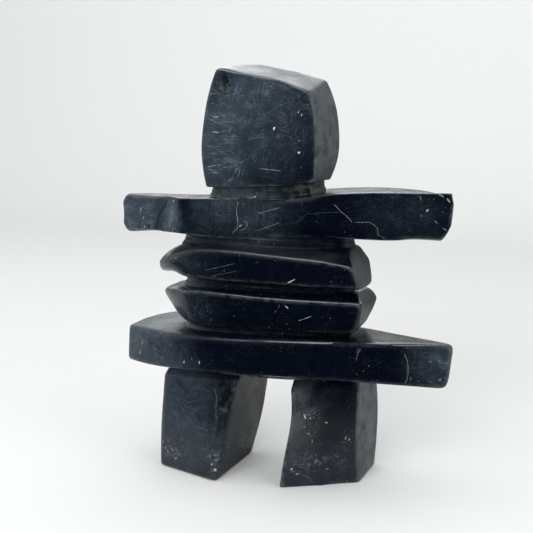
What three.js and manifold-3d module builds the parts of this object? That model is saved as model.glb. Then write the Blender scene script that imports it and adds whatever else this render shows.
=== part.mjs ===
// A stone cairn in the shape of a standing figure, carved from one block of dark stone.
//
// Seven "stones" are cut into the block: two legs, a wide hip slab, two waist slabs, a wide arm slab
// and a head. Between them the carver left narrower necks, so the whole cairn is still one piece.
//
// Each stone is a cage of a few hand-placed corners. Subdivision keeps the cage's creased edges as
// ridges and turns the rest smooth. The stones and necks are then joined into one closed solid.
//
// Millimetres, +Z up, the front faces -Y. The origin is on the ground, at the middle of the footprint
// of the bounding box.

import * as THREE from "three";
import { mergeVertices } from "three/addons/utils/BufferGeometryUtils.js";
import Module from "manifold-3d";

const wasm = await Module();
wasm.setup();

// Driving dimensions.
const STONE_LEVELS = 2; // how often the cage of a stone is subdivided
const NECK_LEVELS = 1; // how often the cage of a neck is subdivided
const CREASE = 3; // sharpness of an edge that the carver left crisp
const WORN = 1; // sharpness of an edge that was rubbed down
const MIDDLE = [2, 1.5]; // X and Y of the middle of the cages, which goes to the origin

const STONE_COLOUR = 0x14181d;

// ---------------------------------------------------------------------------------------------
// Cages
// ---------------------------------------------------------------------------------------------

// A cage is a row of rings with the same number of corners, closed by a cap at each end. Each ring
// goes anticlockwise, seen from the last ring towards the first.
// along holds the sharpness of each lengthwise edge, as one number or as one number for each stretch
// from a ring to the next. round holds the sharpness of each ring.
function cageOf({ rings, along, round }) {
  const corners = rings[0].length;
  const points = rings.flat().map(([x, y, z]) => [x - MIDDLE[0], y - MIDDLE[1], z]);
  const faces = [];
  const sharpness = new Map();
  for (let r = 0; r < rings.length; r++) {
    for (let c = 0; c < corners; c++) {
      const here = r * corners + c;
      const next = r * corners + ((c + 1) % corners);
      sharpness.set(edgeKey(here, next), round[r]);
      if (r + 1 < rings.length) {
        faces.push([here, next, next + corners, here + corners]);
        sharpness.set(edgeKey(here, here + corners), Array.isArray(along[c]) ? along[c][r] : along[c]);
      }
    }
  }
  const firstCap = [...Array(corners).keys()];
  const lastCap = firstCap.map((c) => (rings.length - 1) * corners + c);
  faces.push([...firstCap].reverse(), lastCap);
  return { points, faces, sharpness };
}

function edgeKey(a, b) {
  return a < b ? `${a} ${b}` : `${b} ${a}`;
}

function mean(points) {
  const sum = points[0].map(() => 0);
  for (const point of points) point.forEach((value, i) => (sum[i] += value / points.length));
  return sum;
}

// One Catmull-Clark step. A crease loses one of its sharpness at each step, so it ends up as a ridge
// with a small radius.
function subdivide({ points, faces, sharpness }) {
  const facePoints = faces.map((face) => mean(face.map((v) => points[v])));
  const edges = new Map();
  const aroundPoint = points.map(() => ({ edges: [], faces: [] }));
  faces.forEach((face, f) => {
    face.forEach((v, i) => {
      const key = edgeKey(v, face[(i + 1) % face.length]);
      if (!edges.has(key)) {
        edges.set(key, { ends: key.split(" ").map(Number), faces: [], sharp: sharpness.get(key) });
      }
      edges.get(key).faces.push(f);
      aroundPoint[v].faces.push(f);
    });
  });
  for (const edge of edges.values()) edge.ends.forEach((v) => aroundPoint[v].edges.push(edge));

  const movedPoints = points.map((point, v) => {
    const around = aroundPoint[v];
    const creases = around.edges.filter((edge) => edge.sharp > 0);
    if (creases.length > 2) return point;
    if (creases.length === 2) {
      const [a, b] = creases.map((edge) => points[edge.ends[0] === v ? edge.ends[1] : edge.ends[0]]);
      return point.map((value, i) => 0.75 * value + 0.125 * (a[i] + b[i]));
    }
    const count = around.edges.length;
    const faceMean = mean(around.faces.map((f) => facePoints[f]));
    const edgeMean = mean(around.edges.map((edge) => mean(edge.ends.map((end) => points[end]))));
    return point.map((value, i) => (faceMean[i] + 2 * edgeMean[i] + (count - 3) * value) / count);
  });

  const finePoints = [...movedPoints, ...facePoints];
  const fineSharpness = new Map();
  const edgePointOf = new Map();
  for (const [key, edge] of edges) {
    const ends = edge.ends.map((v) => points[v]);
    const onCrease = mean(ends);
    const smooth = mean([...ends, ...edge.faces.map((f) => facePoints[f])]);
    const share = Math.min(edge.sharp, 1);
    const middle = finePoints.length;
    finePoints.push(onCrease.map((value, i) => share * value + (1 - share) * smooth[i]));
    edgePointOf.set(key, middle);
    for (const v of edge.ends) fineSharpness.set(edgeKey(v, middle), Math.max(edge.sharp - 1, 0));
  }

  const fineFaces = faces.flatMap((face, f) =>
    face.map((v, i) => {
      const after = edgePointOf.get(edgeKey(v, face[(i + 1) % face.length]));
      const before = edgePointOf.get(edgeKey(face[(i + face.length - 1) % face.length], v));
      const inside = points.length + f;
      fineSharpness.set(edgeKey(after, inside), 0);
      return [v, after, inside, before];
    }),
  );
  return { points: finePoints, faces: fineFaces, sharpness: fineSharpness };
}

// ---------------------------------------------------------------------------------------------
// Solids
// ---------------------------------------------------------------------------------------------

function solidOf(cage, levels) {
  let fine = cage;
  for (let level = 0; level < levels; level++) fine = subdivide(fine);
  const triangles = fine.faces.flatMap(([a, b, c, d]) => [a, b, c, a, c, d]);
  return new wasm.Manifold(
    new wasm.Mesh({
      numProp: 3,
      vertProperties: new Float32Array(fine.points.flat()),
      triVerts: new Uint32Array(triangles),
    }),
  );
}

function geometryOf(solid) {
  const { vertProperties, triVerts } = solid.getMesh();
  const geometry = new THREE.BufferGeometry();
  geometry.setAttribute("position", new THREE.BufferAttribute(vertProperties, 3));
  geometry.setIndex(new THREE.BufferAttribute(triVerts, 1));
  return mergeVertices(geometry, 1e-3);
}

// ---------------------------------------------------------------------------------------------
// The stones. Upright ones have rings from the bottom up. Slabs have rings from left to right.
// ---------------------------------------------------------------------------------------------

// Left leg: a wedge whose inner face stands square to the front and leans in towards the top.
// Corners: front left, front right, back right, back left.
const leftLeg = {
  rings: [
    [[-77, -15.5, 0], [-31, -30.5, 0], [-27.5, 28, 0], [-73, 23, 0]],
    [[-77, -15, 24], [-27, -30, 24], [-22.5, 38, 24], [-76, 27, 24]],
    [[-74.5, -15, 50], [-22.5, -29.5, 50], [-20, 41, 50], [-75, 29, 50]],
    [[-73.5, -15, 61], [-17, -28.5, 66], [-17, 40, 64], [-73, 28, 62]],
    [[-68.5, -11, 70.5], [-16, -22, 74], [-16, 35, 74], [-69, 23, 71]],
  ],
  along: [CREASE, CREASE, CREASE, CREASE],
  round: [CREASE, 0, 0, CREASE, CREASE],
};

// Right leg: its front face turns away to the right and is hollow, and its foot flares to the left.
// Corners: front left, the hollow, front right, back right, back left.
const rightLeg = {
  rings: [
    [[8.5, -26, 0], [32, -12, 0], [53.5, 0, 0], [55.5, 34, 0], [12, 32, 0]],
    [[11.5, -24.5, 22], [29.5, -8.5, 22], [51, 0.5, 22], [57, 37, 22], [15, 34, 22]],
    [[16.5, -24, 46], [31, -7.5, 46], [52, 0, 46], [56.5, 38, 46], [18, 36, 46]],
    [[15.5, -24.5, 63], [31, -9, 63], [52.5, -1, 64], [54.5, 37, 64], [18, 36, 64]],
    [[17, -19, 73], [33, -8, 73], [48, 3, 74], [50, 32, 74], [20, 31, 73]],
  ],
  along: [CREASE, 0, CREASE, CREASE, CREASE],
  round: [CREASE, 0, 0, CREASE, CREASE],
};

// Hip slab: deep at the left and in the middle, tapering to the right.
// Corners: front top, front bottom, back bottom, back top.
const hips = {
  rings: [
    [[-99, -12, 92], [-100, -13, 69], [-99, 8, 69], [-98, 8, 91.5]],
    [[-84, -21, 93], [-84, -22, 68.5], [-86, 26, 69.5], [-86, 24, 95]],
    [[-52, -35, 94.7], [-52, -36, 71.5], [-60, 36, 72], [-58, 36, 96]],
    [[-5, -39, 96.8], [-5, -38.5, 73], [-8, 38, 74], [-8, 38, 96]],
    [[45, -34, 98.3], [45, -34, 74], [42, 33, 75], [42, 22, 96]],
    [[82, -27, 98.3], [82, -27, 73], [81, 8, 75], [80, 3, 96.5]],
    [[111, -20, 99.5], [109, -20, 72], [108, -8, 73], [111, -11, 97]],
  ],
  along: [[2, 2, 2, CREASE, CREASE, 2], CREASE, CREASE, CREASE],
  round: [2, 0, 0, 0, 0, 0, 2],
};

// Lower waist slab: widest near its top and undercut below.
// Corners: top front, front ridge, bottom front, bottom back, back ridge, top back.
const lowerWaist = {
  rings: [
    [[-77, 4, 116.5], [-84, 3, 113.5], [-73, 3, 102], [-73, 18, 101], [-83, 18, 113], [-77, 17, 116.5]],
    [[-60, -10, 121], [-65, -21, 119.5], [-54, -22, 97.2], [-52, 25, 97.2], [-64, 27, 118], [-60, 20, 121]],
    [[-38, -14, 122], [-38, -28, 121], [-36, -26, 97.6], [-36, 27, 98], [-38, 31, 119], [-38, 22, 122]],
    [[5, -14, 123], [5, -29, 119], [5, -26, 98.6], [5, 27, 98.5], [5, 30, 118], [5, 22, 123]],
    [[40, -13, 124], [43, -28, 120], [43, -25, 99.8], [40, 25, 99], [44, 27, 117], [40, 20, 123]],
    [[53, -12, 123], [62, -27, 120], [56, -23, 101.2], [51, 20, 97.5], [61.5, 22, 116], [52, 18, 122]],
  ],
  along: [[0, WORN, WORN, WORN, WORN], [0, 2, CREASE, CREASE, CREASE], CREASE, CREASE, [0, 2, CREASE, CREASE, 0], WORN],
  round: [WORN, 0, 0, 0, 0, 2],
};

// Upper waist slab: its top slopes down to a worn ridge that falls to the right.
// Corners as on the lower waist slab.
const upperWaist = {
  rings: [
    [[-76.5, 2, 139], [-85, 0, 131.5], [-80, -2, 124.5], [-78, 16, 124.5], [-83, 16, 131], [-76.5, 14, 139]],
    [[-62, -10, 148], [-67.5, -20, 141.5], [-67, -21, 126], [-64, 28, 127], [-66, 27, 141], [-61, 20, 148]],
    [[-38, -11, 148.5], [-38, -24, 147], [-40, -25, 126.3], [-38, 32, 127], [-38, 32, 144], [-38, 22, 149]],
    [[5, -11, 148.5], [5, -25, 144], [5, -25, 126.8], [5, 31, 126.5], [5, 31, 143], [5, 21, 149]],
    [[38, -11, 148.5], [38, -25, 142.5], [40, -25, 126.5], [41, 28, 126], [40, 28, 142], [38, 20, 149]],
    [[47, -9, 147.5], [54, -24, 139.5], [58.5, -23, 126.5], [57, 20, 121.5], [53.5, 18, 139], [47, 16, 148.5]],
  ],
  along: [
    [0, WORN, WORN, WORN, WORN],
    [0, WORN, 2, 2, CREASE],
    [0, 2, CREASE, CREASE, 2],
    [0, 2, CREASE, CREASE, 0],
    [0, 2, CREASE, CREASE, CREASE],
    WORN,
  ],
  round: [WORN, 0, 0, 0, 0, 2],
};

// Arm slab: a step in the front leaves the left end thinner, and the middle of the front's upper
// edge is scooped out. Corners: top front, front upper, front lower, bottom front, bottom back, top back.
const arms = {
  rings: [
    [[-105, -2, 176.8], [-107.5, -1, 173], [-107.5, -1, 153.5], [-105, -2, 149.2], [-101, 24, 149.5], [-101, 24, 173.5]],
    [[-72, -8, 176.2], [-72, -8, 171], [-75, -8, 157], [-76, -7.5, 152.5], [-74, 30, 152.5], [-72, 30, 173.5]],
    [[-61, -12.5, 175.5], [-62.5, -12.5, 170.5], [-67, -12.5, 157], [-68, -12, 153], [-64, 32, 153], [-62, 32, 173.5]],
    [[-36, -12.5, 175.8], [-36, -12.5, 171], [-38, -12.5, 156], [-39, -12, 151], [-36, 33, 152], [-36, 33, 175]],
    [[-13, -12, 178], [-13, -12.5, 174], [-13, -12.5, 156], [-13, -12, 151.5], [-13, 34, 152], [-13, 34, 177]],
    [[3, -5, 178.5], [3, -12.5, 170.5], [3, -12.5, 157], [3, -9, 152], [3, 34, 152.5], [3, 33, 178.5]],
    [[21, -7, 179.5], [20, -12.5, 174], [21, -12.5, 160], [21, -8, 153], [21, 33, 153], [21, 32, 180]],
    [[37, -12, 181], [37, -12.5, 178], [37, -12.5, 162.5], [37, -8, 154], [37, 32, 153.5], [37, 32, 181.5]],
    [[56, -12.5, 182.9], [56, -12.5, 179], [56, -12.5, 160], [56, -11.5, 154.5], [56, 31, 154], [56, 31, 182.5]],
    [[85, -12.5, 183.5], [85, -12.5, 179], [85, -12.5, 160], [85, -12, 154.5], [85, 29, 155], [85, 28, 182]],
    [[107, -10, 183.8], [108, -9, 179.5], [107.8, -9, 163.5], [100.5, -11, 153.2], [94, 22, 156], [97, 20, 179]],
  ],
  along: [
    [0, CREASE, CREASE, CREASE, 2, 2, CREASE, CREASE, CREASE, CREASE],
    0,
    0,
    [0, CREASE, CREASE, CREASE, 2, 2, 2, CREASE, CREASE, 0],
    [2, CREASE, CREASE, CREASE, CREASE, CREASE, CREASE, CREASE, CREASE, 0],
    CREASE,
  ],
  round: [2, 2, CREASE, 0, 0, 0, 0, 0, 0, 0, CREASE],
};

// Head: widest at mid height, with a top that falls to the right and towards the front.
// Corners: front left, front mid left, front mid right, front right, then the same four behind, from
// the right to the left.
const head = {
  rings: [
    [[-44.5, -10, 181.8], [-25, -10, 182], [5, -10, 184], [26, -10, 186.8],
      [25, 30, 185.5], [6, 32, 183], [-14, 32, 182], [-41, 28, 181]],
    [[-48, -10, 198], [-25, -10.5, 197], [5, -10.5, 199], [26.5, -10, 200],
      [30.5, 32, 198], [6, 34, 196.5], [-14, 34, 196], [-47, 30, 196]],
    [[-47.5, -10, 214], [-25, -10.5, 213], [5, -10.5, 214], [26.5, -10, 215],
      [31, 32, 214], [6, 34, 213.5], [-14, 34, 213], [-47, 30, 213]],
    [[-43.5, -10, 238], [-22, -10, 233.5], [4, -10, 232], [25, -10, 232],
      [28.5, 31, 234], [6, 32, 236], [-14, 32, 238], [-43, 29, 238]],
    [[-36.5, -10, 254.8], [-18, -10, 250], [4, -10, 248], [21.5, -9, 239.7],
      [22.5, 26, 248], [6, 27, 252], [-24, 27, 259], [-40, 20, 257.5]],
  ],
  along: [CREASE, 0, 0, [CREASE, CREASE, CREASE, 2], 2, 0, 0, 2],
  round: [CREASE, 0, 0, 0, 2],
};

// ---------------------------------------------------------------------------------------------
// The necks. Each is a plan of corners, with the heights of its foot, its middle and its top. The
// foot flares out where the neck runs into the stone below.
// ---------------------------------------------------------------------------------------------

function neck({ plan, heights, flare }) {
  const centre = mean(plan);
  const ringAt = (z, grow) =>
    plan.map(([x, y]) => {
      const scale = 1 + grow / Math.hypot(x - centre[0], y - centre[1]);
      return [centre[0] + (x - centre[0]) * scale, centre[1] + (y - centre[1]) * scale, z];
    });
  const [foot, middle, top] = heights;
  return {
    rings: [ringAt(foot, flare), ringAt(middle, 0), ringAt(top, 0)],
    along: plan.map(() => 0),
    round: [CREASE, 0, CREASE],
  };
}

// The bridge of stone from leg to leg, under the hips.
const bridge = neck({
  plan: [[-71, 2], [-60, -19], [-30, -29], [20, -27], [50, -12], [53, 22], [30, 33], [-30, 35], [-70, 22]],
  heights: [70, 74, 80],
  flare: 0,
});

const hipNeck = neck({
  plan: [[-60, -2], [-50, -20], [-30, -24], [30, -23], [45, -15], [45, 14], [32, 22], [-34, 23], [-57, 16]],
  heights: [94, 98, 104],
  flare: 4,
});

const waistNeck = neck({
  plan: [[-63, 0], [-54, -15], [-34, -19], [36, -18], [50, -10], [47, 14], [34, 22], [-34, 24], [-60, 16]],
  heights: [119, 125, 131],
  flare: 3,
});

const chestNeck = neck({
  plan: [[-65, 2], [-56, -9], [-36, -12], [20, -12], [47, -4], [46, 14], [34, 22], [-34, 24], [-62, 16]],
  heights: [145, 150, 158],
  flare: 3,
});

const headNeck = neck({
  plan: [[-43, 2], [-41, -6], [-30, -8.5], [14, -7], [22, 0], [22, 20], [16, 25], [-32, 25], [-41, 19]],
  heights: [177, 184, 190],
  flare: 5,
});

// ---------------------------------------------------------------------------------------------
// The carving
// ---------------------------------------------------------------------------------------------

const stones = [leftLeg, rightLeg, hips, lowerWaist, upperWaist, arms, head];
const necks = [bridge, hipNeck, waistNeck, chestNeck, headNeck];

const solids = [
  ...stones.map((stone) => solidOf(cageOf(stone), STONE_LEVELS)),
  ...necks.map((part) => solidOf(cageOf(part), NECK_LEVELS)),
];
const carving = solids.reduce((joined, solid) => joined.add(solid));

const carvedCairn = new THREE.Mesh(
  geometryOf(carving),
  new THREE.MeshStandardMaterial({ color: STONE_COLOUR, roughness: 0.3, metalness: 0 }),
);
carvedCairn.name = "carved_cairn";

const cairn = new THREE.Group();
cairn.add(carvedCairn);

export default cairn;
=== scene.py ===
import math

import bpy
import numpy as np
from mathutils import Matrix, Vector, noise
from mathutils.bvhtree import BVHTree


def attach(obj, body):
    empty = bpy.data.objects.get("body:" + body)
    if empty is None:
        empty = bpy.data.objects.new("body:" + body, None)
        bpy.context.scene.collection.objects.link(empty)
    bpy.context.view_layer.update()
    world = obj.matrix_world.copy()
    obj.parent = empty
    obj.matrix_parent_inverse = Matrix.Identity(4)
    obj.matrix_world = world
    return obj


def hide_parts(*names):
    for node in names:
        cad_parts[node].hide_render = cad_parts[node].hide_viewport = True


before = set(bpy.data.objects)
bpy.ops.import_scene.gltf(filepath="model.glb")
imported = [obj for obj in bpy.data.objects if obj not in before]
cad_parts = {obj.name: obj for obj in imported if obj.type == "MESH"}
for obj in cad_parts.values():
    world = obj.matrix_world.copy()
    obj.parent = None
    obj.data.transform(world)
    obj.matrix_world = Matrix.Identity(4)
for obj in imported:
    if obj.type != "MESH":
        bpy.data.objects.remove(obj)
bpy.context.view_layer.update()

# ==============================================================================================
# The carving: a cairn in the shape of a standing figure, carved from one block of dark serpentine.
# The carver sawed and filed the grooves between the "stones" and left them raw, then rasped and
# sanded the faces of the stones and waxed them.
# ==============================================================================================

MM = 0.001
MIDDLE = (2, 1.5)  # X and Y of the middle of the cages, in mm, which goes to the origin
SHARPEST = 10  # sharpness of an edge that isn't rounded at all
CRISP = 4  # sharpness of an edge that was left crisp
EASED = 2  # sharpness of an edge that was eased with sandpaper
WORN = 1  # sharpness of an edge that was rubbed down
ROUND = 0  # sharpness where the cage has a line and the stone has no edge
STONE_LEVELS = 4  # how often the cage of a stone is subdivided


def new_object(name, points, faces, raw):
    """An object from points in mm. raw is 1 where the stone was left rough from the saw, and else 0."""
    mesh = bpy.data.meshes.new(name)
    mesh.from_pydata([Vector(p) * MM for p in points], [], faces)
    mesh.attributes.new("raw", "FLOAT", "FACE").data.foreach_set("value", [raw] * len(faces))
    mesh.attributes.new("mark", "FLOAT", "FACE")
    made = bpy.data.objects.new(name, mesh)
    bpy.context.scene.collection.objects.link(made)
    return made


def stone_from_cage(name, rings, along, around):
    """A stone, smoothed from rings of corners in mm. along and around are the sharpness of its edges."""
    count = len(rings[0])
    points = [(x - MIDDLE[0], y - MIDDLE[1], z) for ring in rings for x, y, z in ring]
    faces = [list(range(count))[::-1], [(len(rings) - 1) * count + c for c in range(count)]]
    sharpness = {}
    for r in range(len(rings)):
        for c in range(count):
            here, after = r * count + c, r * count + (c + 1) % count
            sharpness[frozenset((here, after))] = around[r]
            if r + 1 < len(rings):
                faces.append([here, after, after + count, here + count])
                edge = along[c]
                sharpness[frozenset((here, here + count))] = edge if isinstance(edge, int) else edge[r]
    stone = new_object(name, points, faces, raw=0)
    crease = stone.data.attributes.new("crease_edge", "FLOAT", "EDGE")
    for edge in stone.data.edges:
        crease.data[edge.index].value = math.sqrt(sharpness[frozenset(edge.vertices)] / SHARPEST)
    smooth = stone.modifiers.new("smooth", "SUBSURF")
    smooth.levels = smooth.render_levels = STONE_LEVELS
    return stone


# Legs. Corners of each ring: front left, front right, back right, back left.
left_leg = stone_from_cage(
    "left_leg",
    [
        [(-77, -15.5, 0), (-31, -30.5, 0), (-27.5, 28, 0), (-73, 23, 0)],
        [(-77, -15, 24), (-27, -30, 24), (-22.5, 38, 24), (-76, 27, 24)],
        [(-74.5, -15, 50), (-22.5, -29.5, 50), (-20, 41, 50), (-75, 29, 50)],
        [(-73.5, -15, 61), (-17, -28.5, 66), (-17, 40, 64), (-73, 28, 62)],
        [(-68.5, -11, 70.5), (-16, -22, 74), (-16, 35, 74), (-69, 23, 71)],
    ],
    along=[CRISP, CRISP, CRISP, CRISP],
    around=[CRISP, ROUND, ROUND, CRISP, CRISP],
)
# The right leg's front is hollow, so it has one more corner there: front left, hollow, front right...
right_leg = stone_from_cage(
    "right_leg",
    [
        [(8.5, -26, 0), (32, -12, 0), (53.5, 0, 0), (55.5, 34, 0), (12, 32, 0)],
        [(11.5, -24.5, 22), (29.5, -8.5, 22), (51, 0.5, 22), (57, 37, 22), (15, 34, 22)],
        [(16.5, -24, 46), (31, -7.5, 46), (52, 0, 46), (56.5, 38, 46), (18, 36, 46)],
        [(15.5, -24.5, 63), (31, -9, 63), (52.5, -1, 64), (54.5, 37, 64), (18, 36, 64)],
        [(17, -19, 73), (33, -8, 73), (48, 3, 74), (50, 32, 74), (20, 31, 73)],
    ],
    along=[CRISP, ROUND, CRISP, CRISP, CRISP],
    around=[CRISP, ROUND, ROUND, CRISP, CRISP],
)

# Hip slab, from left to right. Corners: front top, front bottom, back bottom, back top.
hips = stone_from_cage(
    "hips",
    [
        [(-99, -12, 92), (-100, -13, 69), (-99, 8, 69), (-98, 8, 91.5)],
        [(-84, -21, 93), (-84, -22, 68.5), (-86, 26, 69.5), (-86, 24, 95)],
        [(-52, -35, 94.7), (-52, -36, 71.5), (-60, 36, 72), (-58, 36, 96)],
        [(-5, -39, 96.8), (-5, -38.5, 73), (-8, 38, 74), (-8, 38, 96)],
        [(45, -34, 98.3), (45, -34, 74), (42, 33, 75), (42, 22, 96)],
        [(82, -27, 98.3), (82, -27, 73), (81, 8, 75), (80, 3, 96.5)],
        [(111, -20, 99.5), (109, -20, 72), (108, -8, 73), (111, -11, 97)],
    ],
    along=[[EASED, EASED, EASED, CRISP, CRISP, EASED], CRISP, CRISP, CRISP],
    around=[EASED, ROUND, ROUND, ROUND, ROUND, ROUND, EASED],
)

# Waist slabs. Corners: top front, front ridge, bottom front, bottom back, back ridge, top back.
lower_waist = stone_from_cage(
    "lower_waist",
    [
        [(-77, 4, 116.5), (-84, 3, 113.5), (-73, 3, 102),
         (-73, 18, 101), (-83, 18, 113), (-77, 17, 116.5)],
        [(-60, -10, 121), (-65, -21, 119.5), (-54, -22, 97.2),
         (-52, 25, 97.2), (-64, 27, 118), (-60, 20, 121)],
        [(-38, -14, 122), (-38, -28, 121), (-36, -26, 97.6),
         (-36, 27, 98), (-38, 31, 119), (-38, 22, 122)],
        [(5, -14, 123), (5, -29, 119), (5, -26, 98.6),
         (5, 27, 98.5), (5, 30, 118), (5, 22, 123)],
        [(40, -13, 124), (43, -28, 120), (43, -25, 99.8),
         (40, 25, 99), (44, 27, 117), (40, 20, 123)],
        [(53, -12, 123), (62, -27, 120), (56, -23, 101.2),
         (51, 20, 97.5), (61.5, 22, 116), (52, 18, 122)],
    ],
    along=[
        [ROUND, WORN, WORN, WORN, WORN],
        [ROUND, EASED, CRISP, CRISP, CRISP],
        CRISP,
        CRISP,
        [ROUND, EASED, CRISP, CRISP, ROUND],
        WORN,
    ],
    around=[WORN, ROUND, ROUND, ROUND, ROUND, EASED],
)
upper_waist = stone_from_cage(
    "upper_waist",
    [
        [(-76.5, 2, 139), (-85, 0, 131.5), (-80, -2, 124.5),
         (-78, 16, 124.5), (-83, 16, 131), (-76.5, 14, 139)],
        [(-62, -10, 148), (-67.5, -20, 141.5), (-67, -21, 126),
         (-64, 28, 127), (-66, 27, 141), (-61, 20, 148)],
        [(-38, -11, 148.5), (-38, -24, 147), (-40, -25, 126.3),
         (-38, 32, 127), (-38, 32, 144), (-38, 22, 149)],
        [(5, -11, 148.5), (5, -25, 144), (5, -25, 126.8),
         (5, 31, 126.5), (5, 31, 143), (5, 21, 149)],
        [(38, -11, 148.5), (38, -25, 142.5), (40, -25, 126.5),
         (41, 28, 126), (40, 28, 142), (38, 20, 149)],
        [(47, -9, 147.5), (54, -24, 139.5), (58.5, -23, 126.5),
         (57, 20, 121.5), (53.5, 18, 139), (47, 16, 148.5)],
    ],
    along=[
        [ROUND, WORN, WORN, WORN, WORN],
        [ROUND, WORN, EASED, EASED, CRISP],
        [ROUND, EASED, CRISP, CRISP, EASED],
        [ROUND, EASED, CRISP, CRISP, ROUND],
        [ROUND, EASED, CRISP, CRISP, CRISP],
        WORN,
    ],
    around=[WORN, ROUND, ROUND, ROUND, ROUND, EASED],
)

# Arm slab. Corners: top front, front upper, front lower, bottom front, bottom back, top back.
arms = stone_from_cage(
    "arms",
    [
        [(-105, -2, 176.8), (-107.5, -1, 173), (-107.5, -1, 153.5),
         (-105, -2, 149.2), (-101, 24, 149.5), (-101, 24, 173.5)],
        [(-72, -8, 176.2), (-72, -8, 171), (-75, -8, 157),
         (-76, -7.5, 152.5), (-74, 30, 152.5), (-72, 30, 173.5)],
        [(-61, -12.5, 175.5), (-62.5, -12.5, 170.5), (-67, -12.5, 157),
         (-68, -12, 153), (-64, 32, 153), (-62, 32, 173.5)],
        [(-36, -12.5, 175.8), (-36, -12.5, 171), (-38, -12.5, 156),
         (-39, -12, 151), (-36, 33, 152), (-36, 33, 175)],
        [(-13, -12, 178), (-13, -12.5, 174), (-13, -12.5, 156),
         (-13, -12, 151.5), (-13, 34, 152), (-13, 34, 177)],
        [(3, -5, 178.5), (3, -12.5, 170.5), (3, -12.5, 157),
         (3, -9, 152), (3, 34, 152.5), (3, 33, 178.5)],
        [(21, -7, 179.5), (20, -12.5, 174), (21, -12.5, 160),
         (21, -8, 153), (21, 33, 153), (21, 32, 180)],
        [(37, -12, 181), (37, -12.5, 178), (37, -12.5, 162.5),
         (37, -8, 154), (37, 32, 153.5), (37, 32, 181.5)],
        [(56, -12.5, 182.9), (56, -12.5, 179), (56, -12.5, 160),
         (56, -11.5, 154.5), (56, 31, 154), (56, 31, 182.5)],
        [(85, -12.5, 183.5), (85, -12.5, 179), (85, -12.5, 160),
         (85, -12, 154.5), (85, 29, 155), (85, 28, 182)],
        [(107, -10, 183.8), (108, -9, 179.5), (107.8, -9, 163.5),
         (100.5, -11, 153.2), (94, 22, 156), (97, 20, 179)],
    ],
    along=[
        [ROUND, CRISP, CRISP, CRISP, EASED, EASED, CRISP, CRISP, CRISP, CRISP],
        ROUND,
        ROUND,
        [ROUND, CRISP, CRISP, CRISP, EASED, EASED, EASED, CRISP, CRISP, ROUND],
        [EASED, CRISP, CRISP, CRISP, CRISP, CRISP, CRISP, CRISP, CRISP, ROUND],
        CRISP,
    ],
    around=[EASED, EASED, CRISP, ROUND, ROUND, ROUND, ROUND, ROUND, ROUND, ROUND, CRISP],
)

# Head, from the bottom up. Corners: four along the front from the left, then four along the back.
head = stone_from_cage(
    "head",
    [
        [(-44.5, -10, 181.8), (-25, -10, 182), (5, -10, 184), (26, -10, 186.8),
         (25, 30, 185.5), (6, 32, 183), (-14, 32, 182), (-41, 28, 181)],
        [(-48, -10, 198), (-25, -10.5, 197), (5, -10.5, 199), (26.5, -10, 200),
         (30.5, 32, 198), (6, 34, 196.5), (-14, 34, 196), (-47, 30, 196)],
        [(-47.5, -10, 214), (-25, -10.5, 213), (5, -10.5, 214), (26.5, -10, 215),
         (31, 32, 214), (6, 34, 213.5), (-14, 34, 213), (-47, 30, 213)],
        [(-43.5, -10, 238), (-22, -10, 233.5), (4, -10, 232), (25, -10, 232),
         (28.5, 31, 234), (6, 32, 236), (-14, 32, 238), (-43, 29, 238)],
        [(-36.5, -10, 254.8), (-18, -10, 250), (4, -10, 248), (21.5, -9, 239.7),
         (22.5, 26, 248), (6, 27, 252), (-24, 27, 259), (-40, 20, 257.5)],
    ],
    along=[CRISP, ROUND, ROUND, [CRISP, CRISP, CRISP, EASED], EASED, ROUND, ROUND, EASED],
    around=[CRISP, ROUND, ROUND, ROUND, EASED],
)


# Necks, whose plans are given in mm.
NECK_STEPS = 132  # points round a neck
NECK_PITCH = 0.5  # mm from ring to ring of a neck
SAW_RUN, SAW_PITCH, SAW_DEPTH = 50, 1.3, 0.6  # mm, of the saw's long level grooves
FILE_WIDTH, FILE_REACH, FILE_PITCH, FILE_DEPTH = 5, 9, 3, 0.45  # mm, of the file's short bites


def neck(name, plan, low, high, flare, seed):
    """Raw stone left between two slabs: a wall round its plan, with the grooves of saw and file."""
    corners = [Vector((x - MIDDLE[0], y - MIDDLE[1], 0)) for x, y in plan]
    outline = []  # a smooth closed curve: a uniform cubic B-spline on the corners
    for step in range(NECK_STEPS):
        k, t = divmod(step / NECK_STEPS * len(corners), 1)
        weights = ((1 - t) ** 3, 3 * t**3 - 6 * t**2 + 4, -3 * t**3 + 3 * t**2 + 3 * t + 1, t**3)
        near = [corners[(int(k) + i - 1) % len(corners)] for i in range(4)]
        outline.append(sum((w * p for w, p in zip(weights, near)), Vector()) / 6)
    middle = sum(outline, Vector()) / NECK_STEPS
    rows = math.ceil((high - low) / NECK_PITCH) + 1
    points = []
    for row in range(rows):
        climb = row / (rows - 1)
        z = low + (high - low) * climb
        for p in outline:
            groove = noise.noise(Vector((p.x / SAW_RUN, p.y / SAW_RUN, z / SAW_PITCH + seed)))
            bite = noise.noise(Vector((p.x / FILE_WIDTH, p.y / FILE_REACH, z / FILE_PITCH + seed)))
            reach = flare * (1 - climb) ** 3 + SAW_DEPTH * groove + FILE_DEPTH * bite
            points.append(p + (p - middle).normalized() * reach + Vector((0, 0, z)))
    faces = [list(range(NECK_STEPS))[::-1], [(rows - 1) * NECK_STEPS + i for i in range(NECK_STEPS)]]
    for row in range(rows - 1):
        for i in range(NECK_STEPS):
            here, after = row * NECK_STEPS + i, row * NECK_STEPS + (i + 1) % NECK_STEPS
            faces.append([here, after, after + NECK_STEPS, here + NECK_STEPS])
    return new_object(name, points, faces, raw=1)


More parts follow.
